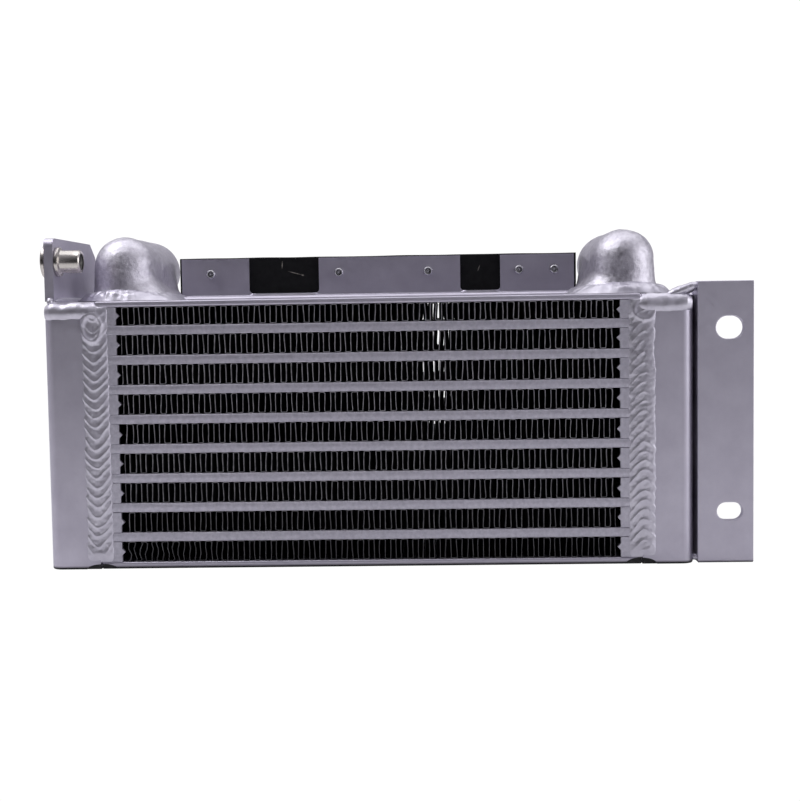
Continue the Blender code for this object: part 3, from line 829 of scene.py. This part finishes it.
def skirt(name, centre_x, seat, rear, inboard):
    """The flare round a casting's foot: wide towards the core's middle, narrow elsewhere."""
    height, steps = 0.0150, 12
    sections = []
    for step in range(steps + 1):
        share = step / steps
        spread_out = (1 - share) ** 1.9
        section = []
        for degrees in range(0, 181, 6):
            turn = math.radians(degrees) + math.pi
            out_x, out_y = math.cos(turn), math.sin(turn)
            reach = 0.0148 + (0.0032 + 0.0085 * max(out_x * inboard, 0) ** 2) * spread_out
            section.append((centre_x + reach * out_x, reach * out_y, seat + height * share))
        first, last = section[0], section[-1]
        section = [(first[0], rear, first[2])] + section + [(last[0], rear, last[2])]
        sections.append(section)
    return loft(name, sections)


def barrel_profile(front, rear):
    """The rear of a casting's barrel in (radius, place along Y): a neck and the port's collar."""
    neck, collar, edge = 0.0156, 0.0163, 0.0006
    profile = [(AXIS, front), (neck, front), (neck, rear - 0.0150), (collar, rear - 0.0130)]
    return profile + [(collar, rear - edge), (collar - edge, rear), (AXIS, rear)]


def make_casting(side_name, side):
    """A domed riser that blends into a barrel, with a flared foot and a rough cast skin."""
    name = f"port_elbow_{side_name}"
    low, high = span(name)
    rear, seat = high.y, low.z
    axis = (side * BARREL_X + CAST_SHIFT, 0, BARREL_Z)
    centre_x = side * RISER_X + CAST_SHIFT
    skin = 0.00009 if side < 0 else 0.00013
    body_rear = rear - 0.0145
    obj = hull(name + "_cast", hood_points(centre_x, axis, high.z - 0.0004, seat - 0.001, body_rear))
    cut(obj, turned("barrel", barrel_profile(0.010, rear), "Y", axis, CAST_TURNS), "UNION")
    cut(obj, skirt("skirt", centre_x, seat - 0.0005, body_rear - 0.002, -side), "UNION")
    floor = [(-0.06, seat - 0.03), (0.08, seat - 0.03), (0.08, seat), (-0.06, seat)]
    cut(obj, prism("below", floor, "X", centre_x - 0.05, centre_x + 0.05))
    even = obj.modifiers.new("Even", "REMESH")
    even.mode = "VOXEL"
    even.voxel_size = 0.0008
    settle(obj)
    blend = obj.modifiers.new("Blend", "SMOOTH")
    blend.factor = 0.5
    blend.iterations = 24
    settle(obj)
    for vertex in obj.data.vertices:
        if vertex.co.y - MID.y > rear - 0.0125:
            continue
        push = skin * wobble(*vertex.co, 0.0020, 1.3) + 0.00045 * wobble(*vertex.co, 0.010, 2.7)
        vertex.co += vertex.normal * (push + 0.0002)
    cut(obj, turned("bore", bore_profile(rear), "Y", axis, 64))
    finished(obj, CAST, [name], angle=50)
    make_thread(side_name, axis, rear - 0.0195, rear - 0.0006)


def bore_profile(rear):
    """The port's bore and the oil way beyond it, in (radius, place along Y)."""
    chamfer, oil_way = 0.0020, 0.009
    profile = [(AXIS, rear + 0.002), (PORT_RADIUS + chamfer, rear + 0.002), (PORT_RADIUS, rear - 0.0010)]
    return profile + [(PORT_RADIUS, rear - 0.020), (oil_way, rear - 0.023), (oil_way, 0.004), (AXIS, 0.0)]


def ring_round(centre, place, radii):
    """A ring round an axis along Y, with a radius for each of its points."""
    ring = []
    for step, radius in enumerate(radii):
        turn = 2 * math.pi * step / len(radii)
        ring.append((centre[0] + radius * math.cos(turn), place, centre[2] + radius * math.sin(turn)))
    return ring


def make_thread(side_name, centre, first, last):
    """A port's inner thread: a helical ridge on a thin sleeve."""
    pitch, depth, per_turn = 0.0018, 0.0010, 40
    inner, outer = PORT_RADIUS - 0.0001, PORT_RADIUS + 0.0002
    rings = []
    for place in np.arange(first, last, pitch / 6):
        fade = min(1, (last - place) / pitch)
        phases = [(place / pitch + step / per_turn) % 1 for step in range(per_turn)]
        radii = [inner - depth * fade * (1 - abs(2 * phase - 1)) for phase in phases]
        rings.append(ring_round(centre, place, radii))
    rings += [ring_round(centre, place, [outer] * per_turn) for place in (last, first)]
    obj = loft(f"port_thread_{side_name}", rings, ring=True)
    finished(obj, BARE, angle=30)


def collar_path(side, rear):
    """Places round a casting's foot and the way out from each: along one side, round the front, back."""
    centre_x, radius = side * RISER_X + CAST_SHIFT, 0.0150
    straight, turns = 34, 90
    path = []
    for y in np.linspace(rear, 0, straight, endpoint=False):
        path.append((centre_x + radius, y, 1.0, 0.0))
    for turn in np.linspace(0, -math.pi, turns):
        out_x, out_y = math.cos(turn), math.sin(turn)
        path.append((centre_x + radius * out_x, radius * out_y, out_x, out_y))
    for y in np.linspace(0, rear, straight + 1)[1:]:
        path.append((centre_x - radius, y, -1.0, 0.0))
    return path


def make_collar(side_name, side):
    """The weld round a casting's foot: a slanted, mottled band, wider towards the core's middle."""
    low, _ = span(f"port_elbow_{side_name}")
    seat = low.z + 0.0001
    sections = []
    for step, (x, y, out_x, out_y) in enumerate(collar_path(side, 0.034)):
        sideways = abs(out_x) ** 1.6
        inward = out_x * side < 0
        wide = 0.0062 + (0.0072 if inward else 0.0030) * sideways + 0.0006 * wobble(x, y, 0, 0.007, 2.0)
        high = 0.0056 - 0.0012 * sideways + 0.0005 * wobble(x, y, 0, 0.004)
        ridge = 0.00022 * ripple(step / 5.2 + 0.5 * wobble(x, y, side, 0.009))
        section = [(-0.004, 0.0), (-0.004, high * 0.8), (-0.0006, high * 0.94), (0.0003, high)]
        for part in range(1, 13):
            share = part / 12
            out = 0.0006 + (wide - 0.0006) * share**1.05
            bulge = math.sin(math.pi * share)
            up = high * (1 - share**1.5) + 0.0005 * bulge
            spot = (x + out * out_x, y + out * out_y, up)
            mottle = 0.00028 * wobble(*spot, 0.0022, 3.7) + 0.0004 * wobble(*spot, 0.005, 1.9)
            rough = bulge * (ridge + mottle)
            section.append((out + rough, max(up + rough, 0.0)))
        sections.append([(x + out * out_x, y + out * out_y, seat + up) for out, up in section])
    obj = loft(f"weld_collar_{side_name}", sections)
    finished(obj, WELD, angle=60)


# Brackets


def make_left_bracket():
    """The upright plate, with rounded edges and a hole for the rivet nut."""
    name = "left_bracket"
    low, high = span(name)
    drop, slope, corner, soft = 0.0057, 0.009, 0.004, 0.002
    outline = [(low.y, low.z), (high.y, low.z)]
    outline += arc(high.y - soft, high.z - drop - soft, soft, 0, 40, 4)
    outline += arc(high.y - slope - soft, high.z - soft, soft, 50, 90, 4)
    outline += arc(low.y + corner, high.z - corner, corner, 90, 180, 8)
    obj = prism(name + "_plate", outline, "X", low.x, high.x)
    nut_low, nut_high = span("rivet_nut")
    centre = ((low.x + high.x) / 2, (nut_low.y + nut_high.y) / 2, (nut_low.z + nut_high.z) / 2)
    hole, reach = 0.0058, 0.01
    cut(obj, turned("nut_hole", [(hole, -reach), (hole, reach)], "X", centre, 40))
    soften(obj, 0.0007, 3)
    finished(obj, SILVER, [name])


def make_rivet_nut():
    """The steel rivet nut: flange outside, bulb and open threaded tail inside."""
    low, high = span("rivet_nut")
    sheet_low, sheet_high = span("left_bracket")
    centre = (0, (low.y + high.y) / 2, (low.z + high.z) / 2)
    flange, bulb, body, bore = 0.0078, 0.0070, 0.0055, 0.0036
    under, start = sheet_low.x - 0.0001, sheet_high.x + 0.0003
    profile = [(bore, low.x + 0.0006), (bore + 0.0006, low.x), (flange - 0.0004, low.x)]
    profile += [(flange, low.x + 0.0004), (flange, under), (body, under), (body, start)]
    profile += [(bulb, start), (bulb + 0.0002, start + 0.0008), (bulb, start + 0.0016)]
    profile += [(body + 0.0003, start + 0.0022), (body, start + 0.0028)]
    profile += [(body, high.x - 0.0005), (body - 0.0005, high.x), (bore + 0.0004, high.x)]
    half_turns = 18
    for index in range(half_turns):
        place = high.x - 0.0006 - index * (high.x - low.x - 0.0016) / half_turns
        profile.append((bore + (0.0005 if index % 2 == 0 else -0.0003), place))
    obj = turned("rivet_nut_steel", profile, "X", centre, 48, ring=True)
    finished(obj, STEEL, ["rivet_nut"], angle=35)
    # painted shade inside the bore
    obj.data.materials.append(BORE_SHADE)
    for face in obj.data.polygons:
        from_axis = face.center - MID - Vector(centre)
        if math.hypot(from_axis.y, from_axis.z) < bore + 0.0006:
            face.material_index = 1


SLOT_X = 0.1708
SLOTS = ((0.1120, 0.0054, 0.0022), (0.0250, 0.0042, 0.0036))  # height, end radius, straight part


def obround(u, v, radius, straight, steps=14):
    """A slot's outline."""
    points = []
    for side, first in ((1, -90), (-1, 90)):
        points += arc(u + side * straight / 2, v, radius, first, first + 180, steps)
    return points


def make_right_bracket():
    """The slotted angle with softened edges and a slanted top on its leg."""
    name = "right_bracket"
    low, high = span(name)
    leg, thick, bend = TANK_HIGH.x + 0.0015, 0.004, 0.002
    outline = [(leg, low.y), (high.x, low.y), (high.x, low.y + thick)]
    outline += arc(leg + thick + bend, low.y + thick + bend, bend, 270, 180, 5)
    outline += [(leg + thick, high.y), (leg, high.y)]
    obj = prism(name + "_angle", outline, "Z", low.z, high.z)
    for height, radius, straight in SLOTS:
        shape = obround(SLOT_X, height, radius, straight)
        cut(obj, prism("slot", shape, "Y", low.y - thick, low.y + 2 * thick))
    above, under, start = high.z + 0.001, TANK_HIGH.z - 0.0006, low.y + 0.006
    slant = [(start, above), (start, high.z), (start + 0.018, under), (high.y + 0.01, under)]
    slant.append((high.y + 0.01, above))
    cut(obj, prism("slant", slant, "X", leg - 0.001, leg + thick + 0.003))
    soften(obj, 0.0005, 3)
    finished(obj, SILVER, [name])


def lump(name, start, end, radii, seed, steps=24, sides=16):
    """A weld run between two points, rounded at both ends."""
    start, end = Vector(start), Vector(end)
    heading = (end - start).normalized()
    side = heading.cross(Vector((0.3, 0.2, 1))).normalized()
    up = heading.cross(side)
    length = (end - start).length
    sections = []
    for step in range(steps + 1):
        share = step / steps
        place = start + heading * length * share
        round_end = math.sqrt(max(0.02, 1 - abs(2 * share - 1) ** 3))
        ripples = 1 + 0.03 * math.sin(2 * math.pi * share * length / 0.0030)
        section = []
        for turn_step in range(sides):
            turn = 2 * math.pi * turn_step / sides
            across, high = math.cos(turn), math.sin(turn)
            swell = round_end * ripples * (1 + 0.12 * wobble(share * 4, across, high, 0.9, seed))
            offset = side * radii[0] * across + up * radii[1] * high
            section.append(place + offset * swell)
        sections.append(section)
    obj = loft(name, sections)
    finished(obj, WELD, angle=70)


def make_bracket_welds():
    """The welds that hold the brackets on the tanks."""
    tank, front, top = TANK_HIGH.x, -TANK_HALF_DEPTH, TANK_HIGH.z
    start = (tank - 0.0125, front + 0.0045, top - 0.0012)
    end = (tank + 0.0034, front + 0.0037, top + 0.0040)
    lump("weld_right_top", start, end, (0.0030, 0.0024), 1)
    start = (tank + 0.0004, front + 0.008, top - 0.001)
    end = (tank + 0.0004, front + 0.042, top - 0.001)
    lump("weld_right_top_rear", start, end, (0.0020, 0.0018), 2)
    start, end = (tank - 0.001, front + 0.004, 0.0030), (tank + 0.004, front + 0.004, 0.0026)
    lump("weld_right_foot", start, end, (0.0020, 0.0018), 3)
    leg_x, leg_end, half = tank + 0.0012, front + 0.0452, 0.011
    for height, seed in ((0.03, 4), (0.08, 5), (0.115, 6)):
        start, end = (leg_x, leg_end, height - half), (leg_x, leg_end, height + half)
        lump(f"weld_right_leg_{seed}", start, end, (0.0018, 0.0018), seed)
    low, high = span("left_bracket")
    inner = high.x + 0.0003
    start, end = (inner, low.y + 0.001, top + 0.0006), (inner, high.y - 0.002, top + 0.0006)
    lump("weld_left_inner", start, end, (0.0021, 0.0019), 7, 60)
    start = (low.x + 0.0012, low.y - 0.0006, top + 0.0002)
    end = (high.x - 0.0002, low.y - 0.0008, top + 0.0002)
    lump("weld_left_front", start, end, (0.0019, 0.0021), 8)


def bend_profile(radius, low, high, front, rear, thick):
    """The bent sheet's section in (y, z): a foot that points forward and an upright."""
    steps = 8
    outer = [(rear, high)]
    outer += arc(rear - radius - thick, low + radius + thick, radius + thick, 0, -90, steps)
    outer.append((front, low))
    inner = [(front, low + thick * 0.3), (front + thick * 0.35, low + thick * 0.7)]
    inner.append((front + thick, low + thick))
    inner += arc(rear - radius - thick, low + radius + thick, radius, -90, 0, steps)
    inner.append((rear - thick, high))
    return np.array(outer + inner)


def make_top_bracket():
    """The bent sheet with two notches, bent in a wider curve under them."""
    name = "top_bracket"
    low, high = span(name)
    thick, blend = 0.002, 0.004
    notches = ((-0.0668, -0.0294), (0.0460, 0.0673))
    notch_low, corner = 0.1322, 0.002
    tight = bend_profile(0.0008, low.z, high.z, low.y, high.y, thick)
    wide = bend_profile(0.0048, low.z, high.z, low.y, high.y, thick)
    places = set(np.linspace(low.x, high.x, 60))
    for left, right in notches:
        places |= set(np.linspace(left, left + blend, 9)) | set(np.linspace(right - blend, right, 9))
    sections = []
    for x in sorted(places):
        share = 0.0
        for left, right in notches:
            share = max(share, min(1, max(0, (min(x - left, right - x)) / blend)))
        share = share * share * (3 - 2 * share)
        sections.append(outline_at(tight + (wide - tight) * share, "X", x))
    obj = loft(name + "_sheet", sections)
    for left, right in notches:
        outline = [(left, high.z + 0.005)]
        outline += arc(left + corner, notch_low + corner, corner, 180, 270, 5)
        outline += arc(right - corner, notch_low + corner, corner, 270, 360, 5)
        outline.append((right, high.z + 0.005))
        cut(obj, prism("notch", outline, "Y", low.y - 0.01, high.y + 0.01))
    soften(obj, 0.00025, 2, 50)
    finished(obj, SILVER, [name])


def make_rubber():
    """The rubber strip, slightly wavy along its cut edges."""
    low, high = span("rubber_seal")
    corner = 0.0004
    sections = []
    for x in np.linspace(low.x, high.x, 90):
        top = high.z - 0.0002 + 0.0002 * wobble(x, 0, 0, 0.02, 4.2)
        bow = 0.00012 * wobble(x, 0, 0, 0.03, 8.1)
        section = [(low.y + corner, low.z), (high.y - corner, low.z), (high.y, low.z + corner)]
        section += [(high.y, top - corner), (high.y - corner, top), (low.y + corner, top)]
        section += [(low.y, top - corner), (low.y, low.z + corner)]
        sections.append(outline_at([(y + bow, z) for y, z in section], "X", x))
    obj = loft("rubber_strip", sections)
    finished(obj, RUBBER, ["rubber_seal"], angle=30)


def make_rivet(index):
    """A blind rivet: a domed head behind the rubber, a rolled hollow end with its mandrel in front."""
    name = f"rivet_{index}"
    low, high = span(name)
    centre = ((low.x + high.x) / 2, 0, (low.z + high.z) / 2)
    front, rear = low.y, high.y
    bulb, hollow, shank, head = 0.0024, 0.0013, 0.0016, (high.x - low.x) / 2
    profile = [(AXIS, front + 0.0003), (0.0004, front + 0.0004), (0.0006, front + 0.0020)]
    profile += [(hollow * 0.9, front + 0.0022), (hollow, front + 0.0006), (hollow + 0.0003, front + 0.0001)]
    profile += [(bulb - 0.0005, front), (bulb - 0.0001, front + 0.0005), (bulb, front + 0.0014)]
    profile += [(bulb * 0.92, front + 0.0026), (shank, front + 0.0029), (shank, rear - 0.0010)]
    profile += [(head, rear - 0.0010), (head * 0.95, rear - 0.0006), (head * 0.7, rear - 0.0001)]
    profile += [(head * 0.4, rear), (AXIS, rear - 0.0001)]
    obj = turned(name + "_set", profile, "Y", centre, 32)
    finished(obj, BARE, [name], angle=35)


# Everything


make_side_plate("side_plate_bottom")
make_side_plate("side_plate_top")
for row_number in range(1, 10):
    make_fin(row_number)
    for side_name, side in SIDES:
        make_air_bar(row_number, side_name, side)
for row_number in range(1, 9):
    make_oil_passage(row_number)
    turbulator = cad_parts[f"turbulator_{row_number}"].data
    turbulator.materials.clear()
    turbulator.materials.append(BARE)
for side_name, side in SIDES:
    make_tank(side_name, side)
    make_casting(side_name, side)
    make_collar(side_name, side)
    for face_name, way in FACES:
        make_upright_bead(side_name, side, face_name, way)
        make_cap_bead(side_name, side, face_name, way)
make_left_bracket()
make_rivet_nut()
make_right_bracket()
make_bracket_welds()
make_top_bracket()
make_rubber()
for rivet_number in range(1, 6):
    make_rivet(rivet_number)


# Studio


FLOOR_SEEN = 1.02  # the floor's brightness to the camera
FLOOR_GLOW = 0.12  # and what it gives off as a light
ROOM_SEEN = 1.05  # the room's brightness to the camera
ROOM_DARK = 0.015  # and as a light, in front
ROOM_LIGHT = 0.42  # and elsewhere
ROOM_TURN = 0.58  # how much further the dark reaches on the left than on the right
ROOM_FADE = (-1.12, -0.45)  # the directions between which it goes from dark to light


def camera_sees(owner, seen, other):
    """One shader for the camera's own rays, and another for all other light."""
    path, mix = node(owner, "ShaderNodeLightPath"), node(owner, "ShaderNodeMixShader")
    link(owner, path.outputs["Is Camera Ray"], mix.inputs[0])
    link(owner, other, mix.inputs[1])
    link(owner, seen, mix.inputs[2])
    return mix.outputs["Shader"]


def make_floor():
    """A pale sheet that lights the object softly and looks white, with a barely visible mottle."""
    front, rear, half = -0.50, 0.95, 1.1
    corners = [(-half, front, 0), (half, front, 0), (half, rear, 0), (-half, rear, 0)]
    obj = raw_object("floor", corners, [(0, 1, 2, 3)])
    made = bpy.data.materials.new("pale_floor")
    made.use_nodes = True
    nodes = made.node_tree.nodes
    shader = nodes["Principled BSDF"]
    shader.inputs["Roughness"].default_value = 0.8
    shader.inputs["Emission Color"].default_value = (1, 1, 1, 1)
    shader.inputs["Emission Strength"].default_value = FLOOR_GLOW
    tones = ((0.74, 0.74, 0.75), (0.78, 0.78, 0.78))
    link(made, toned(made, noise_at(made, 0.3), tones), shader.inputs["Base Color"])
    seen = node(made, "ShaderNodeEmission", Strength=FLOOR_SEEN)
    shown = camera_sees(made, seen.outputs["Emission"], shader.outputs["BSDF"])
    link(made, shown, nodes["Material Output"].inputs["Surface"])
    obj.data.materials.append(made)


def make_light(name, place, aim, width, height, power):
    """A soft white box that faces a point."""
    data = bpy.data.lights.new(name, "AREA")
    data.shape = "RECTANGLE"
    data.size = width
    data.size_y = height
    data.energy = power
    obj = bpy.data.objects.new(name, data)
    obj.location = place
    obj.rotation_euler = (Vector(aim) - Vector(place)).to_track_quat("-Z", "Y").to_euler()
    bpy.context.scene.collection.objects.link(obj)


def make_world():
    """White to look at; as a light, a dark room in front and on the left, a soft grey one elsewhere."""
    world = bpy.data.worlds.new("studio")
    world.use_nodes = True
    seen = world.node_tree.nodes["Background"]
    seen.inputs["Color"].default_value = (1, 1, 1, 1)
    seen.inputs["Strength"].default_value = ROOM_SEEN
    lit = node(world, "ShaderNodeBackground", Color=(0.94, 0.92, 1.0, 1))
    parts = node(world, "ShaderNodeSeparateXYZ")
    link(world, node(world, "ShaderNodeTexCoord").outputs["Generated"], parts.inputs["Vector"])
    depth = reckoned(world, "MULTIPLY_ADD", parts.outputs["X"], ROOM_TURN, parts.outputs["Y"])
    link(world, remapped(world, depth, ROOM_FADE, (ROOM_DARK, ROOM_LIGHT)), lit.inputs["Strength"])
    shown = camera_sees(world, seen.outputs["Background"], lit.outputs["Background"])
    link(world, shown, world.node_tree.nodes["World Output"].inputs["Surface"])
    bpy.context.scene.world = world


def make_camera():
    """A long lens in front, a little right of the core's middle and near its top."""
    yaw, pitch, roll = math.radians(1.618), math.radians(3.943), math.radians(-0.874)
    ahead = Vector((-math.sin(yaw) * math.cos(pitch), math.cos(yaw) * math.cos(pitch), -math.sin(pitch)))
    right = Vector((math.cos(yaw), math.sin(yaw), 0))
    down = ahead.cross(right)
    turned_right = math.cos(roll) * right - math.sin(roll) * down
    turned_down = math.sin(roll) * right + math.cos(roll) * down
    data = bpy.data.cameras.new("camera")
    data.lens = 61.2
    data.sensor_width = 36
    obj = bpy.data.objects.new("camera", data)
    axes = Matrix((turned_right, -turned_down, -ahead)).transposed()
    obj.matrix_world = Matrix.Translation(MID + Vector((0.0335, -0.6928, 0.1240))) @ axes.to_4x4()
    bpy.context.scene.collection.objects.link(obj)
    bpy.context.scene.camera = obj


make_floor()
make_light("soft_box_top", (0, 0.20, 1.0), (0, 0.05, 0), 1.6, 1.0, 6.0)
make_light("soft_box_left", (-0.60, -0.10, 0.85), (0, 0, 0.1), 0.7, 0.6, 4.0)
make_light("soft_box_right", (0.95, -0.25, 0.36), (0, 0, 0.1), 0.8, 0.6, 3.4)
make_world()
make_camera()
bpy.context.scene.view_settings.view_transform = "Standard"
